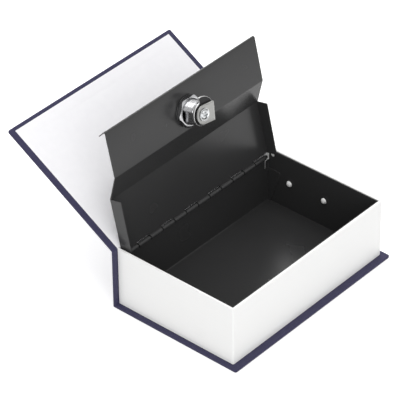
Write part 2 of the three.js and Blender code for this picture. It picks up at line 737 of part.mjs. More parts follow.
const coverForeY = -coverHingeY - coverWidth / 2;
const coverInnerZ = paperThick + glueLine;
const front = wrappedBoard(
  -coverLength / 2, coverLength / 2, coverForeY, -jointWidth,
  [coverCornerRadius, coverCornerRadius, 0, 0]);
const frontFlip = new THREE.Group();
frontFlip.rotation.y = Math.PI;
frontFlip.position.z = coverInnerZ + caseThick;
frontFlip.add(part('front_cover_cloth', front.cloth, navyCloth));
frontFlip.add(part('front_board', front.board, greyBoard));
cover.add(frontFlip);
const frontPaper = block(
  -coverLength / 2 + paperEndBorder, coverLength / 2 - paperEndBorder,
  coverForeY + paperForeBorder, -jointWidth, 0, paperThick);
cover.add(part('front_endpaper', frontPaper, whitePaper));

// Cloth joint: the strip that bridges spine and front cover, shown as it lies with the cover open
function clothJoint() {
  const open = rad(coverOpenDeg);
  const edge = (z) => vec(-jointWidth + seat, z).rotateAround(vec(0, 0), -open);
  const outer = edge(coverInnerZ + caseThick);
  const inner = edge(coverInnerZ + caseThick - clothThick);
  const spineTop = spineFootZ + spineHeight - coverHingeZ + glueLine;
  const shape = new THREE.Shape([
    vec(caseThick / 2 - clothThick, spineTop + clothThick), vec(caseThick / 2, spineTop), outer, inner,
  ]);
  return runAlongX(shape, -coverLength / 2, coverLength / 2).translate(0, coverHingeY, coverHingeZ);
}
object.add(part('front_joint_cloth', clothJoint(), navyCloth));

export default object;
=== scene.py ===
# Book diversion safe: a hollow book whose cover opens on a steel cash tray with a hinged, locking lid.
# Sizes are in millimetres, and MM turns them into Blender's metres. X runs along the spine, the fore
# edge is at -Y, and cover and lid stand open as in use.
import json
import math

import bmesh
import bpy
import numpy as np
from mathutils import Matrix, Vector


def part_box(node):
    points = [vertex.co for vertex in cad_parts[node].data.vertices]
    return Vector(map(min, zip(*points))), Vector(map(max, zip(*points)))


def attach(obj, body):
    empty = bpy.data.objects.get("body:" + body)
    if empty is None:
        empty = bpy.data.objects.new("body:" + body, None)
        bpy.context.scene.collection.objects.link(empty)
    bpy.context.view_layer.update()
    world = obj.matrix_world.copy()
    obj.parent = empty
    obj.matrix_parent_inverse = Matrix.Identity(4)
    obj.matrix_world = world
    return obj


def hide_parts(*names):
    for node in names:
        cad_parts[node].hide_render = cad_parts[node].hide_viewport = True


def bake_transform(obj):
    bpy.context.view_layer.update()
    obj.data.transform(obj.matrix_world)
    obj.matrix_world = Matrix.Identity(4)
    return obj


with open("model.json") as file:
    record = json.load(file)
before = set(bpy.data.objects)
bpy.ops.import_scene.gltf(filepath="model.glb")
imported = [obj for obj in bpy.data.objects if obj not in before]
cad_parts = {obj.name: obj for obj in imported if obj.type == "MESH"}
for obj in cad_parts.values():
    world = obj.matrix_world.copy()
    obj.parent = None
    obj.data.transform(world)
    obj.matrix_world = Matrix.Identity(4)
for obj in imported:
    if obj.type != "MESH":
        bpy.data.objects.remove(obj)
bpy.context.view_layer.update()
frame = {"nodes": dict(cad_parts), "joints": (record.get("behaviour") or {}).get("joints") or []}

MM = 0.001
joints = {joint["name"]: joint for joint in frame["joints"]}
bpy.context.scene.view_settings.view_transform = "Standard"


# Camera: a long lens from above the near corner of the fore edge, level but for a slight roll.
CAMERA_PLACE = (-1304.60, -1093.77, 1329.07)
CAMERA_LOOK = (0.60519657, 0.53146022, -0.59269481)
CAMERA_UP = (0.45261933, 0.38275607, 0.80537788)
SENSOR_WIDTH = 36
LENS_LENGTH = 259.42
CLIP_NEAR = 0.1
CLIP_FAR = 50

camera = bpy.data.objects.new("camera", bpy.data.cameras.new("camera"))
bpy.context.scene.collection.objects.link(camera)
camera.data.sensor_width = SENSOR_WIDTH
camera.data.lens = LENS_LENGTH
camera.data.clip_start = CLIP_NEAR
camera.data.clip_end = CLIP_FAR
look = Vector(CAMERA_LOOK).normalized()
across = look.cross(Vector(CAMERA_UP)).normalized()
camera_turn = Matrix((across, across.cross(look), -look)).transposed().to_4x4()
camera.matrix_world = Matrix.Translation(Vector(CAMERA_PLACE) * MM) @ camera_turn
bpy.context.scene.camera = camera


# Case cloth: navy book cloth glued round the back board, the spine, the joint and the front board, and
# turned in over their edges. It is one wrapped sheet, so it is worked out as one surface and cut in
# three: the back with the spine stays with the book, the front swings, and the joint rides on neither.
CLOTH_COLOUR = (0.026, 0.024, 0.064, 1)
CLOTH_PAINTED_HIGHLIGHT = (0.053, 0.049, 0.107, 1)
CLOTH_ROUGHNESS = 0.8
CLOTH_SPECULAR = 0.25
CLOTH_SHEEN = 0.15
THREAD_PITCH = 0.44
THREAD_HEIGHT = 0.05
WEAVE_SHARES = (0.5, 1.0)
SLUB_NOISE = (1.6, 2)
SLUB_ACROSS_SHARES = (1, 0.12, 1)
SLUB_ALONG_SHARES = (0.12, 1, 1)
SLUB_HEIGHT_SHARE = 1.5
SLUB_HIGHLIGHT_SHARES = (0.2, 1.6)
EDGE_ROUND = 0.75
EDGE_STEPS = 6
PLAN_ROUND = 1.8
PLAN_STEPS = 10
FACE_POINTS = 8
BOARD_ROWS = 14
SPINE_ROWS = 8
FOLD_ROUND = 0.5
FOLD_STEPS = 5
JOINT_WIDTH = 2.6
JOINT_DROP = 2.35
JOINT_STEPS = 9
OUTER_REACH = 0.5
INNER_REACH = 0.68
PAPER_GAP = 0.25
PLACE_DIGITS = 4
MERGE = 0.002
SMOOTH_DEG = 32


def mm_box(node):
    """A CAD node's lowest and highest corner, in millimetres."""
    return [np.array(corner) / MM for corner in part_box(node)]


def new_material(name, roughness=0.5, metallic=0.0, specular=0.5):
    """A principled material with its uniform values set: the material and its shader node. Where a
    pattern drives the roughness, its number is left out."""
    material = bpy.data.materials.new(name)
    material.use_nodes = True
    shader = material.node_tree.nodes["Principled BSDF"]
    shader.inputs["Roughness"].default_value = roughness
    shader.inputs["Metallic"].default_value = metallic
    shader.inputs["Specular IOR Level"].default_value = specular
    return material, shader


def set_sockets(material, node, settings):
    """Sets a node's sockets, by name or number, to a value or joins them to an output."""
    for socket, value in settings.items():
        if isinstance(value, bpy.types.NodeSocket):
            material.node_tree.links.new(value, node.inputs[socket])
        else:
            node.inputs[socket].default_value = value


def add_node(material, kind, settings):
    """A new shader node with its sockets set or joined."""
    node = material.node_tree.nodes.new(kind)
    set_sockets(material, node, settings)
    return node


def worked(material, operation, first, second=0.0):
    """One step of arithmetic on sockets or numbers."""
    node = add_node(material, "ShaderNodeMath", {0: first, 1: second})
    node.operation = operation
    return node.outputs[0]


def mixed(material, share, first, second):
    """A colour between two others."""
    node = material.node_tree.nodes.new("ShaderNodeMix")
    node.data_type = "RGBA"
    set_sockets(material, node, {0: share, 6: first, 7: second})
    return node.outputs[2]


def sine(material, value, pitch):
    """sin(2 pi value / pitch), with the pitch in millimetres."""
    turns = 2 * math.pi / (pitch * MM)
    return worked(material, "SINE", worked(material, "MULTIPLY", value, turns))


def coordinates(material, kind="Object"):
    """The shaded point's place in the piece's own axes, or its place on the sheet or its normal."""
    return material.node_tree.nodes.new("ShaderNodeTexCoord").outputs[kind]


def stretched(material, vector, shares):
    """Coordinates scaled along each axis, so that a pattern runs long where the share is small."""
    return add_node(material, "ShaderNodeMapping", {"Vector": vector, "Scale": shares}).outputs[0]


def speckle(material, vector, size, detail):
    """Noise from 0 to 1 with blots of about size millimetres, broken up by detail finer octaves. A
    value named NOISE holds the two."""
    settings = {"Vector": vector, "Scale": 1 / (size * MM), "Detail": detail}
    return add_node(material, "ShaderNodeTexNoise", settings).outputs["Fac"]


def spread(material, value, low, high):
    """A socket's run from 0 to 1 carried over to low to high, and held at those beyond it."""
    settings = {"Value": value, "To Min": low, "To Max": high}
    return add_node(material, "ShaderNodeMapRange", settings).outputs[0]


def join_to(material, shader, **sockets):
    """Joins outputs to the shader's sockets; an underscore in a name stands for a space."""
    for name, output in sockets.items():
        material.node_tree.links.new(output, shader.inputs[name.replace("_", " ")])


def add_relief(material, shader, height, depth):
    """Relief that rises by depth millimetres as height goes from 0 to 1."""
    settings = {"Height": height, "Distance": depth * MM, "Strength": 1.0}
    join_to(material, shader, Normal=add_node(material, "ShaderNodeBump", settings).outputs[0])


def tidy(mesh):
    """Merges points that meet, drops faces left without area and turns the rest outwards."""
    work = bmesh.new()
    work.from_mesh(mesh)
    bmesh.ops.remove_doubles(work, verts=work.verts, dist=MERGE * MM)
    bmesh.ops.dissolve_degenerate(work, edges=work.edges, dist=MERGE * MM / 2)
    bmesh.ops.recalc_face_normals(work, faces=work.faces)
    work.to_mesh(mesh)
    work.free()


def grid_quads(rows, columns, start):
    """Quads that join each point of a grid to its neighbours along both parameters."""
    index = start + np.arange(rows * columns).reshape(rows, columns)
    corners = (index[:-1, :-1], index[1:, :-1], index[1:, 1:], index[:-1, 1:])
    return np.stack(corners, axis=-1).reshape(-1, 4).tolist()


def closed_mesh(name, grids, caps=(), surface_maps=None):
    """A mesh of point grids, rows x columns x (x, y, z) in millimetres, and flat caps, closed where
    their points meet. A surface map gives each grid point its place on the cloth or sheet."""
    points, faces, places = [], [], []
    for number, grid in enumerate(grids):
        faces += grid_quads(*grid.shape[:2], sum(len(block) for block in points))
        points.append(grid.reshape(-1, 3))
        places.append(surface_maps[number].reshape(-1, 2) if surface_maps else points[-1][:, :2])
    for cap in caps:
        start = sum(len(block) for block in points)
        faces.append(list(range(start, start + len(cap))))
        points.append(cap)
        places.append(cap[:, :2])
    mesh = bpy.data.meshes.new(name)
    mesh.from_pydata((np.concatenate(points) * MM).tolist(), [], faces)
    corners = np.zeros(len(mesh.loops), np.int32)
    mesh.loops.foreach_get("vertex_index", corners)
    surface = mesh.uv_layers.new(name="surface")
    flat_places = (np.concatenate(places) * MM)[corners].astype(np.float32)
    surface.data.foreach_set("uv", flat_places.ravel())
    tidy(mesh)
    return mesh


def add_piece(name, mesh, material, body, stands_for=()):
    """A piece of the object: shaded smooth up to an angle, with its material, riding on its body in
    place of the CAD nodes that it stands for. A piece that bends between bodies is given none."""
    piece = bpy.data.objects.new(name, mesh)
    bpy.context.scene.collection.objects.link(piece)
    mesh.shade_smooth()
    mesh.set_sharp_from_angle(angle=math.radians(SMOOTH_DEG))
    mesh.materials.append(material)
    if stands_for:
        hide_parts(*stands_for)
    if body:
        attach(piece, body)
    return piece


def drawn_in(distance, radius):
    """How far a rounded corner is drawn in at a distance from its end: r - sqrt(r^2 - (r - d)^2)."""
    left = radius - np.minimum(distance, radius)
    return radius - np.sqrt(np.maximum(radius ** 2 - left ** 2, 0))


def board_distances(length):
    """Distances from a board's fore edge, close together in its rounds and then even."""
    quarter = np.linspace(0, math.pi / 2, EDGE_STEPS)
    plan_quarter = np.linspace(0, math.pi / 2, PLAN_STEPS)
    in_rounds = [EDGE_ROUND * (1 - np.cos(quarter)), PLAN_ROUND * (1 - np.cos(plan_quarter))]
    even = np.linspace(PLAN_ROUND, length, BOARD_ROWS)
    return np.unique(np.round(np.concatenate([*in_rounds, even]), PLACE_DIGITS))


def rounded_corner(start, corner, end, reach, steps):
    """A path from start to end whose corner is eased by p = (1-t)^2 a + 2t(1-t) c + t^2 b, where a and
    b lie reach millimetres before and after the corner c."""
    start, corner, end = (np.array(point, float) for point in (start, corner, end))
    before = corner + reach * (start - corner) / np.linalg.norm(start - corner)
    after = corner + reach * (end - corner) / np.linalg.norm(end - corner)
    t = np.linspace(0, 1, steps)[:, None]
    eased = (1 - t) ** 2 * before + 2 * t * (1 - t) * corner + t ** 2 * after
    return np.vstack([start, eased, end])


def wrapped(halves, outer, inner, edge, face_shares):
    """A flat wrapping carried along a path: each section is a rectangle of half length w(s), from
    outer(s) to inner(s), whose two ends are half round. It starts and ends in the middle of the inner
    face, where it meets itself."""
    quarter = np.linspace(0, math.pi / 2, EDGE_STEPS)
    full_thick = np.linalg.norm(inner - outer, axis=1).max()
    share = min(edge / full_thick, 0.5)
    ends = np.ones(EDGE_STEPS)
    back = face_shares[::-1]
    along = np.concatenate([face_shares, ends, ends, back, -face_shares[1:], -ends, -ends, -back])
    bulge = np.concatenate([
        0 * back, np.sin(quarter), np.cos(quarter), 0 * back, 0 * back[1:], -np.sin(quarter),
        -np.cos(quarter), 0 * back])
    level = np.concatenate([
        0 * back + 1, 1 - share + share * np.cos(quarter), share - share * np.sin(quarter), 0 * back,
        0 * back[1:], share - share * np.cos(quarter), 1 - share + share * np.sin(quarter),
        0 * back + 1])
    x = along * (halves[:, None] - edge) + bulge * edge
    side = outer[:, None, :] + (inner - outer)[:, None, :] * level[None, :, None]
    return np.concatenate([x[..., None], side], axis=-1)


def surface_places(grid, path):
    """Each grid point's place on the sheet: its length round the middle section, and along the path."""
    middle = grid[len(grid) // 2]
    steps_round = np.linalg.norm(np.diff(middle, axis=0), axis=1)
    steps_along = np.linalg.norm(np.diff(path, axis=0), axis=1)
    across_length = np.concatenate([[0], np.cumsum(steps_round)])
    along_length = np.concatenate([[0], np.cumsum(steps_along)])
    return np.stack(np.meshgrid(across_length, along_length), axis=-1)


case_low, case_high = mm_box("back_cover_cloth")
half_long, spine_y, case_thick = case_high
fore_y = case_low[1]
hinge_y, hinge_z = np.array(joints["cover_hinge"]["pos_m"])[1:] / MM
open_turn = -math.radians(joints["cover_hinge"]["range_deg"][1])
cover_fore = fore_y - hinge_y
board_outer = PAPER_GAP + case_thick
inner_y = spine_y - case_thick


def side_points(y, z):
    """Points in the side view; a number stands for the same value at each of them."""
    return np.stack(np.broadcast_arrays(y, z), axis=-1)


def swung(y, z):
    """A point of the shut cover, from the hinge axis, turned to where the open cover has it."""
    across_axis = hinge_y + y * math.cos(open_turn) - z * math.sin(open_turn)
    above_axis = hinge_z + y * math.sin(open_turn) + z * math.cos(open_turn)
    return side_points(across_axis, above_axis)


def spine_meets_cover(y, z):
    """Where the upright line at y meets the open cover's plane at height z above its paper."""
    along = (y - hinge_y + z * math.sin(open_turn)) / math.cos(open_turn)
    return swung(along, z)


def joint_rows(spine_line, cover_plane, low_z, reach):
    """The bend from the upright spine line into the cover's plane."""
    corner = spine_meets_cover(spine_line, cover_plane)
    end = swung(-JOINT_WIDTH, cover_plane)
    return rounded_corner((spine_line, low_z), corner, end, reach, JOINT_STEPS)


def case_path():
    """Outer and inner line of the case from the back board's fore edge round to the front board's, with
    half its length at each row, and the rows where the joint begins and ends."""
    run = board_distances(inner_y - fore_y)
    round_in = drawn_in(run, EDGE_ROUND)
    fold = np.linspace(-math.pi / 2, 0, FOLD_STEPS)
    corner_y = spine_y - FOLD_ROUND + FOLD_ROUND * np.cos(fold)
    corner_z = FOLD_ROUND + FOLD_ROUND * np.sin(fold)
    joint_low = case_high_z - JOINT_DROP
    spine_z = np.linspace(case_thick, joint_low, SPINE_ROWS)[:-1]
    cover_run = board_distances(-JOINT_WIDTH - cover_fore)
    cover_in = drawn_in(cover_run, EDGE_ROUND)
    outer = np.vstack([
        side_points(fore_y + run, round_in),
        side_points(corner_y, corner_z),
        side_points(spine_y, spine_z),
        joint_rows(spine_y, board_outer, joint_low, OUTER_REACH),
        swung(cover_fore + cover_run, board_outer - cover_in)[::-1][1:]])
    inner = np.vstack([
        side_points(fore_y + run, case_thick - round_in),
        np.tile([inner_y, case_thick], (FOLD_STEPS, 1)),
        side_points(inner_y, spine_z),
        joint_rows(inner_y, PAPER_GAP, joint_low, INNER_REACH),
        swung(cover_fore + cover_run, PAPER_GAP + cover_in)[::-1][1:]])
    joint_start = len(run) + FOLD_STEPS + len(spine_z)
    joint_end = joint_start + JOINT_STEPS + 1
    halves = np.full(len(outer), half_long)
    halves[:len(run)] -= drawn_in(run, PLAN_ROUND)
    halves[joint_end:] -= drawn_in(cover_run, PLAN_ROUND)[::-1]
    return outer, inner, halves, joint_start, joint_end


def book_cloth():
    """Plain weave: threads stand up in turn, h = max(0, sin(2 pi u / p) sin(2 pi v / p)), with slubs of
    thicker thread both ways, and what stands up is painted lighter: a painted highlight on the tops of
    the threads, stronger on the slubs."""
    material, shader = new_material("navy book cloth", CLOTH_ROUGHNESS, specular=CLOTH_SPECULAR)
    shader.inputs["Sheen Weight"].default_value = CLOTH_SHEEN
    place = coordinates(material, "UV")
    split = add_node(material, "ShaderNodeSeparateXYZ", {0: place})
    warp = sine(material, split.outputs[0], THREAD_PITCH)
    weft = sine(material, split.outputs[1], THREAD_PITCH)
    weave = spread(material, worked(material, "MULTIPLY", warp, weft), *WEAVE_SHARES)
    slub_warp = speckle(material, stretched(material, place, SLUB_ACROSS_SHARES), *SLUB_NOISE)
    slub_weft = speckle(material, stretched(material, place, SLUB_ALONG_SHARES), *SLUB_NOISE)
    slubs = worked(material, "MULTIPLY", slub_warp, slub_weft)
    height = worked(material, "ADD", weave, worked(material, "MULTIPLY", slubs, SLUB_HEIGHT_SHARE))
    add_relief(material, shader, height, THREAD_HEIGHT)
    # Painted highlight: the raised threads and slubs are painted lighter in the base colour.
    shade = worked(material, "MULTIPLY", weave, spread(material, slubs, *SLUB_HIGHLIGHT_SHARES))
    join_to(material, shader, Base_Color=mixed(material, shade, CLOTH_COLOUR, CLOTH_PAINTED_HIGHLIGHT))
    return material


case_high_z = mm_box("spine_cloth")[1][2]
case_outer, case_inner, case_halves, joint_start, joint_end = case_path()
even_shares = np.linspace(0, 1, FACE_POINTS)
case_grid = wrapped(case_halves, case_outer, case_inner, EDGE_ROUND, even_shares)
case_places = surface_places(case_grid, case_outer)
navy_cloth = book_cloth()


def case_piece(name, first, last, body, *stands_for):
    """The part of the case between two rows of its path, closed at both ends."""
    grid = case_grid[first:last + 1]
    caps = [grid[0, :-1], grid[-1, :-1]]
    mesh = closed_mesh(name, [grid], caps, [case_places[first:last + 1]])
    return add_piece(name, mesh, navy_cloth, body, stands_for)


case_piece("case_back_cloth", 0, joint_start, "book_body", "back_cover_cloth", "spine_cloth")
case_piece("case_front_cloth", joint_end, len(case_grid) - 1, "front_cover", "front_cover_cloth")
joint_cloth = case_piece("case_joint_cloth", joint_start, joint_end, None, "front_joint_cloth")
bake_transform(joint_cloth)


# Boards: grey mill board, cut to size and hidden inside the cloth. They keep their CAD shape and get
# the look of pressed waste paper, grey with lighter and darker fibres.
BOARD_GREY = (0.30, 0.28, 0.25, 1)
BOARD_DARK = (0.18, 0.165, 0.15, 1)
BOARD_ROUGHNESS = 0.9
BOARD_SPECULAR = 0.2
FIBRE_SHARES = (0.3, 1, 1)
FIBRE_NOISE = (0.9, 5)
FIBRE_DEPTH = 0.04


def mill_board():
    """Pressed waste paper: fibres as noise drawn out along the board, which stand up and are darker."""
    material, shader = new_material("grey mill board", BOARD_ROUGHNESS, specular=BOARD_SPECULAR)
    fibres = speckle(material, stretched(material, coordinates(material), FIBRE_SHARES), *FIBRE_NOISE)
    join_to(material, shader, Base_Color=mixed(material, fibres, BOARD_GREY, BOARD_DARK))
    add_relief(material, shader, fibres, FIBRE_DEPTH)
    return material


def dress(node, material):
    """Gives a CAD node's own mesh its finished material."""
    frame["nodes"][node].data.materials.clear()
    frame["nodes"][node].data.materials.append(material)


grey_board = mill_board()
for node in ("back_board", "spine_board", "front_board"):
    dress(node, grey_board)


# Endpaper: smooth white paper, pasted up the inside of the spine, over the joint and across the front
# board, where the edge of the turned-in cloth shows through it as a faint step.
PAPER_WHITE = (0.89, 0.885, 0.905, 1)
PAPER_SHADE = (0.84, 0.835, 0.86, 1)
PAPER_ROUGHNESS = 0.6
PAPER_SPECULAR = 0.35
MOTTLE_NOISE = (6, 3)
TOOTH_NOISE = (0.25, 2)
TOOTH_DEPTH = 0.006
PAPER_THICK = 0.15
PAPER_STEP = 0.05
PAPER_END_BORDER = 4.6
PAPER_FORE_BORDER = 3.2
LINING_TUCK = 1.5
PAPER_REACH = 1.4
TURN_IN = 12
STEP_WIDTH = 0.5
STEP_ROWS = 4
ON_FACE_SHARE = 0.25
PAPER_EDGE = 0.07
PAPER_ROWS = 24


def coated_paper():
    """Matt white paper: noise in large soft blots for its shade, and in fine ones for its tooth."""
    material, shader = new_material("white endpaper", PAPER_ROUGHNESS, specular=PAPER_SPECULAR)
    mottle = speckle(material, coordinates(material), *MOTTLE_NOISE)
    tooth = speckle(material, coordinates(material), *TOOTH_NOISE)
    join_to(material, shader, Base_Color=mixed(material, mottle, PAPER_WHITE, PAPER_SHADE))
    add_relief(material, shader, tooth, TOOTH_DEPTH)
    return material


def smooth_step(value):
    """0 below 0, 1 above 1, and 3t^2 - 2t^3 between."""
    t = np.clip(value, 0, 1)
    return t * t * (3 - 2 * t)


def paper_path(step_rows):
    """Outer and inner line of the endpaper from the spine's foot to the cover's fore edge, the rows on
    the cover and the number of those on the spine."""
    joint_low = case_high_z - JOINT_DROP
    spine_z = np.linspace(pages_low[2], joint_low, SPINE_ROWS)[:-1]
    even_rows = np.linspace(cover_fore + PAPER_FORE_BORDER, -JOINT_WIDTH, PAPER_ROWS)
    cover_rows = np.unique(np.concatenate([even_rows, cover_fore + TURN_IN + step_rows]))[::-1][1:]
    hidden_y = pages_high[1] + PAPER_GAP
    face_y = hidden_y - PAPER_THICK
    outer = np.vstack([
        side_points(hidden_y, spine_z),
        joint_rows(hidden_y, PAPER_THICK, joint_low, PAPER_REACH),
        swung(cover_rows, PAPER_THICK + PAPER_STEP / 2)])
    inner = np.vstack([
        side_points(face_y, spine_z),
        joint_rows(face_y, 0, joint_low, PAPER_REACH),
        swung(cover_rows, 0)])
    return outer, inner, cover_rows, len(spine_z)


def sinking(rows, inner, cover_rows):
    """How far each point of the rows on the cover moves into the board: by the step's height on the
    face inside the turned-in border, eased over the step's width, and elsewhere not at all."""
    sunk = np.minimum(
        smooth_step((half_long - TURN_IN - np.abs(rows[:, :, 0])) / STEP_WIDTH),
        smooth_step((cover_rows[:, None] - cover_fore - TURN_IN) / STEP_WIDTH))
    from_face = np.linalg.norm(rows[:, :, 1:] - inner[:, None], axis=-1)
    on_face = from_face < PAPER_THICK * ON_FACE_SHARE
    into_board = swung(0, 1) - swung(0, 0)
    return (sunk * on_face * PAPER_STEP)[..., None] * into_board


def paper_grid():
    """The endpaper as a thin wrapping along spine, joint and cover, with the numbers of the rows where
    the joint begins and ends."""
    step_rows = np.linspace(0, STEP_WIDTH, STEP_ROWS)
    outer, inner, cover_rows, spine_count = paper_path(step_rows)
    half = half_long - PAPER_END_BORDER
    step_shares = (half_long - TURN_IN - step_rows) / half
    shares = np.unique(np.concatenate([np.linspace(0, 1, FACE_POINTS), step_shares]))
    halves = np.full(len(outer), half)
    halves[:spine_count + 1] = pages_high[0] - LINING_TUCK
    grid = wrapped(halves, outer, inner, PAPER_EDGE, shares)
    first_cover = spine_count + JOINT_STEPS + 2
    grid[first_cover:, :, 1:] += sinking(grid[first_cover:], inner[first_cover:], cover_rows)
    return grid, spine_count, first_cover - 1


def paper_piece(name, first, last, body, *stands_for):
    """The part of the endpaper between two rows of its path."""
    rows = endpaper[first:last + 1]
    mesh = closed_mesh(name, [rows], [rows[0, :-1], rows[-1, :-1]])
    return add_piece(name, mesh, white_paper, body, stands_for)


pages_low, pages_high = mm_box("page_block")
white_paper = coated_paper()
endpaper, paper_joint_start, paper_joint_end = paper_grid()
paper_piece("spine_lining", 0, paper_joint_start, "book_body", "spine_lining_paper")
paper_piece("cover_endpaper", paper_joint_end, len(endpaper) - 1, "front_cover", "front_endpaper")
joint_paper = paper_piece("joint_endpaper", paper_joint_start, paper_joint_end, None)
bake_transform(joint_paper)
dress("back_lining_paper", white_paper)


# Page block: a frame moulded in smooth white plastic that stands for the trimmed pages. Fine lines run
# round it like the edges of the sheets, and its corners and rim are slightly rounded.
PAGES_WHITE = (0.88, 0.88, 0.875, 1)
PAGES_SHADE = (0.84, 0.84, 0.83, 1)
PAGES_ROUGHNESS = (0.36, 0.48)
PAGE_PITCH = 0.36
PAGE_RELIEF = 0.012
PAGE_LINE_SHARES = (0.3, 0.7)
UNEVEN_SHARES = (0.02, 0.02, 1)
UNEVEN_NOISE = (0.7, 3)
PAGES_ROUND = 0.35
PAGES_SEGMENTS = 3
EDGE_SEGMENTS = 2
FLAT_DEG = 1
BEVEL_DEG = 30
SHORT_SHARE = 1.2


def page_edges():
    """Sheets seen edge on: lines at one height all round, h = max(0, sin(2 pi z / p)), of uneven
    strength and gloss."""
    material, shader = new_material("white page edges")
    place = coordinates(material)
    height = add_node(material, "ShaderNodeSeparateXYZ", {0: place}).outputs[2]
    lines = spread(material, sine(material, height, PAGE_PITCH), *PAGE_LINE_SHARES)
    uneven = speckle(material, stretched(material, place, UNEVEN_SHARES), *UNEVEN_NOISE)
    both = worked(material, "MULTIPLY", lines, uneven)
    add_relief(material, shader, both, PAGE_RELIEF)
    join_to(material, shader, Base_Color=mixed(material, both, PAGES_WHITE, PAGES_SHADE))
    join_to(material, shader, Roughness=spread(material, uneven, *PAGES_ROUGHNESS))
    return material


def mark_rounded(work, width):
    """Marks the edges to round: those whose faces turn by more than the limit, and that don't meet
    another such edge too short to take the round."""
    marks = work.edges.layers.float.new("bevel_weight_edge")
    limit = math.radians(BEVEL_DEG)
    sharp = [edge for edge in work.edges if edge.calc_face_angle(0) > limit]
    short = [edge for edge in sharp if edge.calc_length() < SHORT_SHARE * width * MM]
    crowded = {point for edge in short for point in edge.verts}
    for edge in sharp:
        edge[marks] = float(crowded.isdisjoint(edge.verts))


def softened(node, name, width, material, body, segments=EDGE_SEGMENTS):
    """Puts a merged copy in place of a CAD node, its flat faces made whole and its sharp edges
    rounded."""
    source = frame["nodes"][node].data
    points = np.zeros(len(source.vertices) * 3, np.float32)
    source.vertices.foreach_get("co", points)
    corners = np.zeros(len(source.loops), np.int32)
    source.loops.foreach_get("vertex_index", corners)
    mesh = bpy.data.meshes.new(name)
    mesh.from_pydata(points.reshape(-1, 3).tolist(), [], corners.reshape(-1, 3).tolist())
    work = bmesh.new()
    work.from_mesh(mesh)
    bmesh.ops.remove_doubles(work, verts=work.verts, dist=MERGE * MM)
    flat = math.radians(FLAT_DEG)
    bmesh.ops.dissolve_limit(work, angle_limit=flat, verts=work.verts, edges=work.edges)
    mark_rounded(work, width)
    work.to_mesh(mesh)
    work.free()
    piece = add_piece(name, mesh, material, body, [node])
    bevel = piece.modifiers.new("rounded edges", "BEVEL")
    bevel.width = width * MM
    bevel.segments = segments
    bevel.limit_method = "WEIGHT"
    bevel.use_clamp_overlap = False
    bevel.harden_normals = True


softened(
    "page_block", "page_edge_frame", PAGES_ROUND, page_edges(), "book_body",
    PAGES_SEGMENTS)


# Cash tray: one blank of mild steel, folded up into floor, walls and corner tabs, rolled into knuckles
# along the hinge, and powder coated black after folding. The coat leaves orange peel and soft edges.
COAT_BLACK = (0.030, 0.030, 0.0305, 1)
COAT_GREY = (0.043, 0.043, 0.0435, 1)
COAT_ROUGHNESS = (0.22, 0.30)
COAT_SPECULAR = 0.3
COAT_EDGE = 0.16
PEEL_NOISE = (1.1, 1)
PEEL_DEPTH = 0.008
GRAIN_NOISE = (0.16, 2)
GRAIN_DEPTH = 0.0025
PATCH_NOISE = (30, 2)


def powder_coat():
    """Orange peel and fine grain: rounded blots about a millimetre across under a much finer speckle,
    and broad patches that are a little glossier."""
    material, shader = new_material("black powder coat", specular=COAT_SPECULAR)
    place = coordinates(material)
    peel = speckle(material, place, *PEEL_NOISE)
    grain = speckle(material, place, *GRAIN_NOISE)
    patches = speckle(material, place, *PATCH_NOISE)
    fine = worked(material, "MULTIPLY", grain, GRAIN_DEPTH / PEEL_DEPTH)
    add_relief(material, shader, worked(material, "ADD", peel, fine), PEEL_DEPTH)
    join_to(material, shader, Base_Color=mixed(material, grain, COAT_BLACK, COAT_GREY))
    join_to(material, shader, Roughness=spread(material, patches, *COAT_ROUGHNESS))
    return material


black_coat = powder_coat()
softened("steel_tray", "cash_tray", COAT_EDGE, black_coat, "book_body")


# Hinge pin: drawn steel wire, blackened in oil, that is pushed through all the knuckles of tray and lid
# and peened over at both ends.
WIRE_DARK = (0.03, 0.03, 0.031, 1)
WIRE_WORN = (0.12, 0.12, 0.122, 1)
WIRE_ROUGHNESS = (0.25, 0.5)
WORN_NOISE = (2.5, 4)
MARK_SHARES = (0.15, 1, 1)
MARK_NOISE = (0.3, 3)
MARK_DEPTH = 0.006


def blackened_steel():
    """Oil-blackened steel: dark, with worn patches and fine marks."""
    material, shader = new_material("blackened steel", metallic=1.0)
    place = coordinates(material)
    worn = speckle(material, place, *WORN_NOISE)
    marks = speckle(material, stretched(material, place, MARK_SHARES), *MARK_NOISE)
    join_to(material, shader, Base_Color=mixed(material, worn, WIRE_DARK, WIRE_WORN))
    join_to(material, shader, Roughness=spread(material, marks, *WIRE_ROUGHNESS))
    add_relief(material, shader, marks, MARK_DEPTH)
    return material


dark_steel = blackened_steel()
dress("hinge_pin", dark_steel)


# Strike: a bent strip of zinc-plated steel that the latch turns under, held to the fore-edge wall of
# the tray by two rivets of the same finish.
ZINC_LIGHT = (0.76, 0.77, 0.78, 1)
ZINC_DARK = (0.42, 0.43, 0.44, 1)
ZINC_ROUGHNESS = (0.12, 0.3)
SPANGLE_NOISE = (1.8, 3)
SCRATCH_SHARES = (1, 0.08, 1)
SCRATCH_NOISE = (0.25, 3)
SCRATCH_DEPTH = 0.004
STRIKE_EDGE = 0.15


def zinc_plate():
    """Bright zinc: a broad spangle of lighter and darker patches with fine scratches."""
    material, shader = new_material("zinc plate", metallic=1.0)
    place = coordinates(material)
    spangle = speckle(material, place, *SPANGLE_NOISE)
    scratches = speckle(material, stretched(material, place, SCRATCH_SHARES), *SCRATCH_NOISE)
    join_to(material, shader, Base_Color=mixed(material, spangle, ZINC_LIGHT, ZINC_DARK))
    join_to(material, shader, Roughness=spread(material, scratches, *ZINC_ROUGHNESS))
    add_relief(material, shader, scratches, SCRATCH_DEPTH)
    return material


zinc = zinc_plate()
softened("strike_bracket", "strike", STRIKE_EDGE, zinc, "book_body")


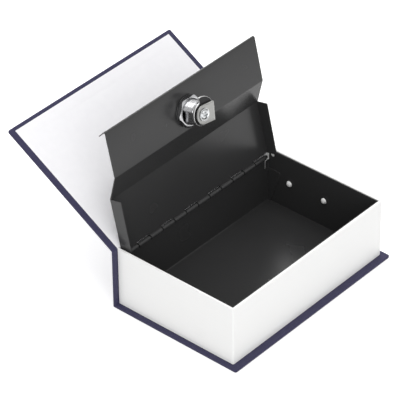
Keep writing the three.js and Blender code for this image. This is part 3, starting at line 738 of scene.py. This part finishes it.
# Rivets: each is a steel shank with a domed head. Four, enamelled white, fix the tray in the page block
# at the head and the tail of the book, and two plain ones, zinc plated, fix the strike to the tray.
RIVET_SIDES = 40
DOME_STEPS = 9
RIM_ROUND = 0.25
RIM_SHARES = ((1, 0), (1 / 3, 1 / 3), (1 / 2, 1))
ENAMEL_WHITE = (0.95, 0.95, 0.945, 1)
ENAMEL_WORN = (0.88, 0.88, 0.87, 1)
ENAMEL_ROUGHNESS = 0.3
ENAMEL_NOISE = (1.2, 3)
ENAMEL_DEPTH = 0.01
TRAY_DOME_SHARE = 0.73
STRIKE_DOME_SHARE = 0.45


def turned(profile, sides):
    """A profile of (radius, height) turned once round: (r cos a, r sin a, h)."""
    angle = np.linspace(0, 2 * math.pi, sides + 1)
    radius, height = np.array(profile, float).T
    x = radius[:, None] * np.cos(angle)
    y = radius[:, None] * np.sin(angle)
    return np.stack([x, y, height[:, None] + 0 * x], axis=-1)


def domed_profile(width, rise, shank, length):
    """A rivet's profile: shank, flat underside, a small round at the rim and a dome, which is a quarter
    of an ellipse as wide and high as the head."""
    angle = np.linspace(0, math.pi / 2, DOME_STEPS)
    dome_radius = (width - RIM_ROUND) * np.cos(angle)
    dome_height = RIM_ROUND + (rise - RIM_ROUND) * np.sin(angle)
    rim = [(width - RIM_ROUND * inward, RIM_ROUND * up) for inward, up in RIM_SHARES]
    dome = list(zip(dome_radius[1:], dome_height[1:]))
    return [(0, -length), (shank, -length), (shank, 0), *rim, *dome]


def placed(grid, origin, axis, side):
    """A grid turned so that its Z lies on axis and its X on side, and moved to origin."""
    axis = np.array(axis, float)
    side = np.array(side, float)
    turn = np.stack([side, np.cross(axis, side), axis])
    return grid @ turn + np.array(origin, float)


def white_enamel():
    """Baked white enamel with slightly worn patches."""
    material, shader = new_material("white enamel", ENAMEL_ROUGHNESS)
    worn = speckle(material, coordinates(material), *ENAMEL_NOISE)
    join_to(material, shader, Base_Color=mixed(material, worn, ENAMEL_WHITE, ENAMEL_WORN))
    add_relief(material, shader, worn, ENAMEL_DEPTH)
    return material


def add_rivet(node, name, axis, material, rise_share):
    """A domed rivet in the place of its CAD node, whose head points along axis."""
    low, high = mm_box(node)
    direction = np.array(axis, float)
    middle = (low + high) / 2
    reach = np.abs(direction) @ (high - low)
    width = (high - low)[2] / 2
    rise = width * rise_share
    seat_at = middle + direction * (reach / 2 - rise)
    profile = domed_profile(width, rise, width / 2, reach - rise)
    grid = placed(turned(profile, RIVET_SIDES), seat_at, axis, (0, 0, 1))
    add_piece(name, closed_mesh(name, [grid]), material, "book_body", [node])


enamel = white_enamel()
for end, direction in (("head", 1), ("tail", -1)):
    for number in (1, 2):
        node = f"tray_rivet_{end}_{number}"
        add_rivet(node, f"{node}_dome", (direction, 0, 0), enamel, TRAY_DOME_SHARE)
for number in (1, 2):
    node = f"strike_rivet_{number}"
    add_rivet(node, f"{node}_dome", (0, 1, 0), zinc, STRIKE_DOME_SHARE)


# Lid: the other blank of the same steel, rolled into the knuckles between the tray's, with a flange at
# each end of the hinge panel, a step down to the lock panel and a finger lip, coated as the tray is.
softened("steel_lid", "tray_lid", COAT_EDGE, black_coat, "lid")


# Lock barrel: die-cast zinc, chromed, with a bevelled head outside the lid and a threaded body inside
# it that has two flats. The thread climbs one pitch a turn, is cut by the flats and fades at the end.
CHROME_BRIGHT = (0.56, 0.56, 0.57, 1)
CHROME_CLOUD = (0.34, 0.34, 0.35, 1)
CHROME_ROUGHNESS = (0.12, 0.26)
CLOUD_NOISE = (3, 3)
WAVE_NOISE = (0.9, 2)
WAVE_DEPTH = 0.012
LOCK_RADIUS = 9.3
LOCK_FLAT = 7.9
LOCK_LENGTH = 13.6
LOCK_HEAD_RADIUS = 11.6
LOCK_HEAD_FRONT = -4.2
LOCK_HEAD_BACK = -1.0
LOCK_HEAD_BEVEL = 1.1
LOCK_BORE = 6.3
THREAD_RISE = 1.0
THREAD_DEPTH = 0.3
THREAD_ROWS = 110
THREAD_END = 1.1
END_CHAMFER = 0.5
LOCK_SIDES = 96
EDGE_EASE = 0.15


def chrome_plate():
    """Chrome over a casting: bright, faintly clouded, with a slight waviness."""
    material, shader = new_material("chrome", metallic=1.0)
    place = coordinates(material)
    cloud = speckle(material, place, *CLOUD_NOISE)
    waves = speckle(material, place, *WAVE_NOISE)
    join_to(material, shader, Base_Color=mixed(material, cloud, CHROME_BRIGHT, CHROME_CLOUD))
    join_to(material, shader, Roughness=spread(material, waves, *CHROME_ROUGHNESS))
    add_relief(material, shader, waves, WAVE_DEPTH)
    return material


def threaded_barrel():
    """The barrel's closed profile turned round, whose radius on the threaded length is
    r = R - d s (1 + cos 2 pi (h / p - a / 2 pi)) / 2, where s is a smooth step down to 0 at the end.
    Inside the lid it is cut to the flats by |x| <= flat."""
    angle = np.linspace(0, 2 * math.pi, LOCK_SIDES + 1)
    climb = np.linspace(LOCK_HEAD_BACK, LOCK_LENGTH - END_CHAMFER, THREAD_ROWS)
    wave = (1 + np.cos(2 * math.pi * (climb[:, None] / THREAD_RISE - angle / (2 * math.pi)))) / 2
    fade = smooth_step((LOCK_LENGTH - END_CHAMFER - climb) / THREAD_END)[:, None]
    radius = LOCK_RADIUS - THREAD_DEPTH * wave * fade
    rest = np.array([
        (LOCK_RADIUS - END_CHAMFER, LOCK_LENGTH), (LOCK_BORE + EDGE_EASE, LOCK_LENGTH),
        (LOCK_BORE, LOCK_LENGTH - EDGE_EASE), (LOCK_BORE, LOCK_HEAD_FRONT + EDGE_EASE),
        (LOCK_BORE + EDGE_EASE, LOCK_HEAD_FRONT),
        (LOCK_HEAD_RADIUS - LOCK_HEAD_BEVEL - EDGE_EASE, LOCK_HEAD_FRONT),
        (LOCK_HEAD_RADIUS - LOCK_HEAD_BEVEL + EDGE_EASE, LOCK_HEAD_FRONT + EDGE_EASE),
        (LOCK_HEAD_RADIUS, LOCK_HEAD_FRONT + LOCK_HEAD_BEVEL + EDGE_EASE),
        (LOCK_HEAD_RADIUS, LOCK_HEAD_BACK - EDGE_EASE), (LOCK_HEAD_RADIUS - EDGE_EASE, LOCK_HEAD_BACK),
        (LOCK_RADIUS, LOCK_HEAD_BACK)])
    radii = np.vstack([radius, np.tile(rest[:, :1], len(angle)), radius[:1]])
    heights = np.concatenate([climb, rest[:, 1], climb[:1]])[:, None] + 0 * radii
    x = radii * np.cos(angle)
    inside_lid = heights > LOCK_HEAD_BACK - EDGE_EASE / 2
    x = np.where(inside_lid & (radii > LOCK_BORE + EDGE_EASE), np.clip(x, -LOCK_FLAT, LOCK_FLAT), x)
    return np.stack([x, radii * np.sin(angle), heights], axis=-1)


lock_origin = np.array(joints["lock_turn"]["pos_m"]) / MM
lock_axis = joints["lock_turn"]["axis"]


def lock_piece(node, name, grid, material):
    """A piece drawn round the lock's axis that stays with the lid, with its heights measured from the
    lid's inner face."""
    mesh = closed_mesh(name, [placed(grid, lock_origin, lock_axis, (1, 0, 0))])
    add_piece(name, mesh, material, "lid", [node])


chrome = chrome_plate()
lock_piece("lock_body", "lock_barrel", threaded_barrel(), chrome)


# Washer and nut: a thin washer of blackened steel, and a chromed hexagon nut whose corners are turned
# off on both faces. They clamp the lock to the lid.
WASHER_RADIUS = 12.0
WASHER_LOW = 0.3
WASHER_HIGH = 0.9
NUT_FLATS = 22.6
NUT_LOW = 1.2
NUT_HIGH = 4.8
NUT_CHAMFER = 0.8
CHAMFER_SLOPE = 1.75
NUT_ROWS = 9
NUT_BORE = 9.6
BORE_CHAMFER = 0.6


def washer_grid():
    """A flat ring with eased rims."""
    ease = EDGE_EASE
    return turned([
        (NUT_BORE, WASHER_LOW + ease), (NUT_BORE + ease, WASHER_LOW),
        (WASHER_RADIUS - ease, WASHER_LOW), (WASHER_RADIUS, WASHER_LOW + ease),
        (WASHER_RADIUS, WASHER_HIGH - ease), (WASHER_RADIUS - ease, WASHER_HIGH),
        (NUT_BORE + ease, WASHER_HIGH), (NUT_BORE, WASHER_HIGH - ease),
        (NUT_BORE, WASHER_LOW + ease)], LOCK_SIDES)


def nut_grid():
    """Round the nut the radius is the smaller of the hexagon's, f / cos(a - nearest flat), and the
    chamfer cone's, f + k d, where d is the distance from the nearer face."""
    angle = np.linspace(0, 2 * math.pi, LOCK_SIDES + 1)
    to_flat = np.mod(angle, math.pi / 3) - math.pi / 6
    hexagon = NUT_FLATS / 2 / np.cos(to_flat)
    thick = NUT_HIGH - NUT_LOW
    rise = np.concatenate([
        np.linspace(0, NUT_CHAMFER, NUT_ROWS), thick - np.linspace(NUT_CHAMFER, 0, NUT_ROWS)])
    from_face = np.minimum(rise, thick - rise)
    outside = np.minimum(hexagon, NUT_FLATS / 2 - EDGE_EASE + CHAMFER_SLOPE * from_face[:, None])
    bore = np.array([NUT_BORE + BORE_CHAMFER, NUT_BORE, NUT_BORE, NUT_BORE + BORE_CHAMFER])
    bore_rise = np.array([thick, thick - BORE_CHAMFER, BORE_CHAMFER, 0])
    radii = np.vstack([outside, np.tile(bore[:, None], len(angle)), outside[:1]])
    heights = NUT_LOW + np.concatenate([rise, bore_rise, rise[:1]])[:, None] + 0 * radii
    return np.stack([radii * np.cos(angle), radii * np.sin(angle), heights], axis=-1)


lock_piece("lock_washer", "lock_washer_ring", washer_grid(), dark_steel)
lock_piece("lock_nut", "lock_hexagon_nut", nut_grid(), chrome)


# Plug and latch: the plug that the key turns is satin nickel, and the latch on its tail is a hub with a
# quarter sector, stamped from steel and near black, with a painted highlight of bright metal on its
# edges.
NICKEL_LIGHT = (0.38, 0.38, 0.37, 1)
NICKEL_DARK = (0.27, 0.27, 0.262, 1)
NICKEL_ROUGHNESS = (0.26, 0.44)
BRUSHED_SHARES = (0.05, 1, 1)
BRUSHED_NOISE = (0.18, 4)
BRUSHED_DEPTH = 0.006
PLUG_EDGE = 0.12
LATCH_BLACK = (0.010, 0.010, 0.011, 1)
LATCH_RUBBED = (0.022, 0.022, 0.023, 1)
LATCH_PAINTED_HIGHLIGHT = (0.62, 0.62, 0.62, 1)
LATCH_ROUGHNESS = 0.4
LATCH_SPECULAR = 0.2
RUBBED_NOISE = (1.5, 3)
RUBBED_DEPTH = 0.006
LATCH_EDGE = 0.35
HIGHLIGHT_EDGE_SHARE = 0.96


def satin_nickel():
    """Brushed nickel: long fine scratches one way that break up the highlight."""
    material, shader = new_material("satin nickel", metallic=1.0)
    along = stretched(material, coordinates(material), BRUSHED_SHARES)
    brushed = speckle(material, along, *BRUSHED_NOISE)
    join_to(material, shader, Base_Color=mixed(material, brushed, NICKEL_LIGHT, NICKEL_DARK))
    join_to(material, shader, Roughness=spread(material, brushed, *NICKEL_ROUGHNESS))
    add_relief(material, shader, brushed, BRUSHED_DEPTH)
    return material


def dot_product(material, first, second):
    """The dot product of two vectors, as a number."""
    node = add_node(material, "ShaderNodeVectorMath", {0: first, 1: second})
    node.operation = "DOT_PRODUCT"
    return node.outputs["Value"]


def latch_steel():
    """Near black, rubbed in places, and a painted highlight of bright metal on the edges, which are the
    faces whose normal turns away from the lock's axis: |n . axis| < share."""
    material, shader = new_material("blackened latch", LATCH_ROUGHNESS, specular=LATCH_SPECULAR)
    rubbed = speckle(material, coordinates(material), *RUBBED_NOISE)
    along = dot_product(material, coordinates(material, "Normal"), lock_axis)
    # Painted highlight: the edge faces get a bright metal colour, and are made metallic, in place of
    # the black.
    painted_highlight = worked(material, "LESS_THAN", worked(material, "ABSOLUTE", along), HIGHLIGHT_EDGE_SHARE)
    black = mixed(material, rubbed, LATCH_BLACK, LATCH_RUBBED)
    join_to(material, shader, Base_Color=mixed(material, painted_highlight, black, LATCH_PAINTED_HIGHLIGHT), Metallic=painted_highlight)
    add_relief(material, shader, rubbed, RUBBED_DEPTH)
    return material


nickel = satin_nickel()
softened("lock_plug", "lock_plug_and_tail", PLUG_EDGE, nickel, "lock_core")
softened("latch_cam", "latch_sector", LATCH_EDGE, latch_steel(), "lock_core")


# Cam plate: a coined plate of satin nickel, round about the tail and square at its reach, with a low
# bead raised along its edge. It fits over the plug's flatted tail.
PLATE_LOW = 15.7
PLATE_THICK = 1.8
PLATE_HALF = 7.6
PLATE_REACH = 11.0
PLATE_CORNER = 0.6
LEAST_CORNER_SHARE = 0.25
PLATE_EDGE = 0.4
EASED_SHARE = 0.3
PLATE_BEAD = 0.9
PLATE_SUNK = 0.3
SUNK_SHARES = ((0.6, 0.8), (1.2, 1))
PLATE_HOLE = 4.6
PLATE_TURN_DEG = -8
ROUND_STEPS = 33
CORNER_POINTS = 6
STRAIGHT_POINTS = 8


def plate_outline(inset):
    """The plate's outline drawn in by inset: a half circle of radius w about the tail, and straight
    sides on to the reach, whose corners are quarter circles."""
    half = PLATE_HALF - inset
    reach = PLATE_REACH - inset
    corner = max(PLATE_CORNER - inset, PLATE_EDGE * LEAST_CORNER_SHARE)
    half_turn = np.linspace(math.pi / 2, 1.5 * math.pi, ROUND_STEPS)
    quarter = np.linspace(0, math.pi / 2, CORNER_POINTS)
    side = np.linspace(0, reach - corner, STRAIGHT_POINTS)[1:-1]
    end = np.linspace(corner - half, half - corner, STRAIGHT_POINTS)[1:-1]
    x = np.concatenate([
        half * np.cos(half_turn), side, reach - corner + corner * np.sin(quarter), 0 * end + reach,
        reach - corner + corner * np.cos(quarter), side[::-1], [0]])
    y = np.concatenate([
        half * np.sin(half_turn), 0 * side - half, corner - half - corner * np.cos(quarter), end,
        half - corner + corner * np.sin(quarter), 0 * side + half, [half]])
    return np.stack([x, y], axis=-1)


def at_height(outline, height):
    """Points of a flat outline, all at one height."""
    return np.column_stack([outline, np.full(len(outline), height)])


def plate_grid():
    """Rows of the outline, drawn in and lifted step by step: up the side, round the edge, over the bead
    and down to the sunk face, and then rows of a circle for the hole."""
    edge = PLATE_EDGE
    eased = PLATE_EDGE * EASED_SHARE
    top = PLATE_THICK
    steps = [
        (PLATE_BEAD, 0), (edge, 0), (eased, eased), (0, edge), (0, top - edge), (eased, top - eased),
        (edge, top), (PLATE_BEAD, top)]
    for inward, down in SUNK_SHARES:
        steps.append((PLATE_BEAD + PLATE_SUNK * inward, top - PLATE_SUNK * down))
    outline = plate_outline(0)
    bore = PLATE_HOLE * outline / np.linalg.norm(outline, axis=1)[:, None]
    rows = [at_height(plate_outline(inset), height) for inset, height in steps]
    rows += [at_height(bore, height) for height in (top - PLATE_SUNK, 0)]
    return np.array([*rows, rows[0]]) + (0, 0, PLATE_LOW)


plate_turn = math.radians(PLATE_TURN_DEG)
lock_up = np.cross(lock_axis, (1, 0, 0))
plate_side = math.cos(plate_turn) * np.array((1, 0, 0)) + math.sin(plate_turn) * lock_up
plate = placed(plate_grid(), lock_origin, lock_axis, plate_side)
plate_mesh = closed_mesh("cam_end_plate", [plate])
add_piece("cam_end_plate", plate_mesh, nickel, "lock_core", ["cam_plate"])


# Cam screw: a zinc-plated steel screw, cold headed with a cross slot and a dished flange round the
# head, that is driven into the plug's tail and holds latch and plate on it.
SCREW_LOW = 17.4
SCREW_FACE = 2.9
SCREW_TOP = 1.7
SCREW_CROWN = 0.6
SCREW_COUNT = 61
SLOT_HALF = 0.6
SLOT_REACH = 2.4
SLOT_DEPTH = 1.3
SLOT_SLOPE = 0.18
SHANK_RADIUS = 1.35
SHANK_LENGTH = 1.2
HEAD_PROFILE = (
    (3.1, 0.96), (3.26, 0.74), (3.34, 0.45), (3.36, 0.2), (3.5, 0.06), (3.9, 0.06), (4.15, 0.2),
    (4.3, 0.42), (4.45, 0.5), (4.7, 0.5), (4.84, 0.42), (4.9, 0.28), (4.9, 0.1), (4.8, 0))


def disc_grid(radius, count):
    """A square grid carried onto a disc: x = r u sqrt(1 - v^2 / 2) and y = r v sqrt(1 - u^2 / 2)."""
    u, v = np.meshgrid(np.linspace(-1, 1, count), np.linspace(-1, 1, count))
    return radius * np.stack([u * np.sqrt(1 - v ** 2 / 2), v * np.sqrt(1 - u ** 2 / 2)], axis=-1)


def grid_border(grid):
    """The points round a grid's border, back to the first."""
    return np.concatenate([grid[0, :-1], grid[:-1, -1], grid[-1, :0:-1], grid[::-1, 0]])


def slot_share(across, along):
    """How deep a slot is cut, 0 to 1: s((w - |x|) / e) s((l - |y|) / e) with s the smooth step."""
    inside = smooth_step((SLOT_HALF - np.abs(across)) / SLOT_SLOPE)
    return inside * smooth_step((SLOT_REACH - np.abs(along)) / SLOT_SLOPE)


def screw_grids():
    """The crown, h = top - c (r / R)^2 less the deeper of the two slots, and round it the profile of
    head, flange and shank turned through the crown's border."""
    face = disc_grid(SCREW_FACE, SCREW_COUNT)
    x = face[..., 0]
    y = face[..., 1]
    crown = SCREW_TOP - SCREW_CROWN * (x ** 2 + y ** 2) / SCREW_FACE ** 2
    height = crown - SLOT_DEPTH * np.maximum(slot_share(x, y), slot_share(y, x))
    face = np.concatenate([face, height[..., None]], axis=-1)
    shank = ((SHANK_RADIUS, 0), (SHANK_RADIUS, -SHANK_LENGTH), (0, -SHANK_LENGTH))
    radius, rise = np.array([(SCREW_FACE, SCREW_TOP - SCREW_CROWN), *HEAD_PROFILE, *shank]).T
    border = grid_border(face)[:, :2] / SCREW_FACE
    rings = radius[:, None, None] * border
    rises = np.broadcast_to(rise[:, None, None], (*rings.shape[:2], 1))
    return [grid + (0, 0, SCREW_LOW) for grid in (face, np.concatenate([rings, rises], axis=-1))]


screw = [placed(grid, lock_origin, lock_axis, plate_side) for grid in screw_grids()]
screw_mesh = closed_mesh("cam_cross_screw", screw)
add_piece("cam_cross_screw", screw_mesh, zinc, "lock_core", ["cam_screw"])


# Studio: a pale floor that shows white to the camera and in polished metal but keeps the shadow. Large
# soft lamps hang overhead, below the camera and high behind the book, in an even white room.
FLOOR_WHITE = (0.84, 0.84, 0.84, 1)
FLOOR_ROUGHNESS = 0.9
FLOOR_HALF = 6000
FLOOR_DROP = 0.05
FLOOR_GLOW = 0.5
SURROUND = 0.645
LAMPS = (
    ("overhead_lamp", (0, 0, 2000), 1400, 15),
    ("camera_lamp", (-1200, -1300, 600), 1400, 10),
    ("back_lamp", (1000, 1200, 1400), 1400, 15),
)
LAMP_AIM = (0, 30, 60)
WHITE = (1, 1, 1, 1)


def seen_directly(owner):
    """1 for rays from the camera and for mirrored or refracted ones, and 0 for the light on things, in
    the nodes of a material or of the world."""
    rays = owner.node_tree.nodes.new("ShaderNodeLightPath").outputs
    total = rays["Is Camera Ray"]
    for name in ("Is Glossy Ray", "Is Transmission Ray"):
        plus = add_node(owner, "ShaderNodeMath", {0: total, 1: rays[name]})
        plus.operation = "ADD"
        plus.use_clamp = True
        total = plus.outputs[0]
    return total


def pale_floor():
    """A matt floor that shines of itself only where it is seen directly."""
    material, shader = new_material("pale floor", FLOOR_ROUGHNESS, specular=0.0)
    shader.inputs["Base Color"].default_value = FLOOR_WHITE
    shader.inputs["Emission Color"].default_value = WHITE
    glow = worked(material, "MULTIPLY", seen_directly(material), FLOOR_GLOW)
    join_to(material, shader, Emission_Strength=glow)
    return material


floor_mesh = bpy.data.meshes.new("floor")
floor_corners = np.array([(-1, -1), (1, -1), (1, 1), (-1, 1)]) * FLOOR_HALF
floor_points = at_height(floor_corners, -FLOOR_DROP) * MM
floor_mesh.from_pydata(floor_points.tolist(), [], [(0, 1, 2, 3)])
floor_mesh.materials.append(pale_floor())
floor = bpy.data.objects.new("floor", floor_mesh)
bpy.context.scene.collection.objects.link(floor)

for name, place, size, power in LAMPS:
    lamp = bpy.data.objects.new(name, bpy.data.lights.new(name, "AREA"))
    bpy.context.scene.collection.objects.link(lamp)
    lamp.data.shape = "SQUARE"
    lamp.data.size = size * MM
    lamp.data.energy = power
    aim = Vector(LAMP_AIM) - Vector(place)
    lamp_turn = aim.to_track_quat("-Z", "Y").to_matrix().to_4x4()
    lamp.matrix_world = Matrix.Translation(Vector(place) * MM) @ lamp_turn

world = bpy.data.worlds.new("surround")
bpy.context.scene.world = world
world.use_nodes = True
background = world.node_tree.nodes["Background"]
background.inputs["Color"].default_value = WHITE
strength = spread(world, seen_directly(world), SURROUND, 1)
world.node_tree.links.new(strength, background.inputs["Strength"])
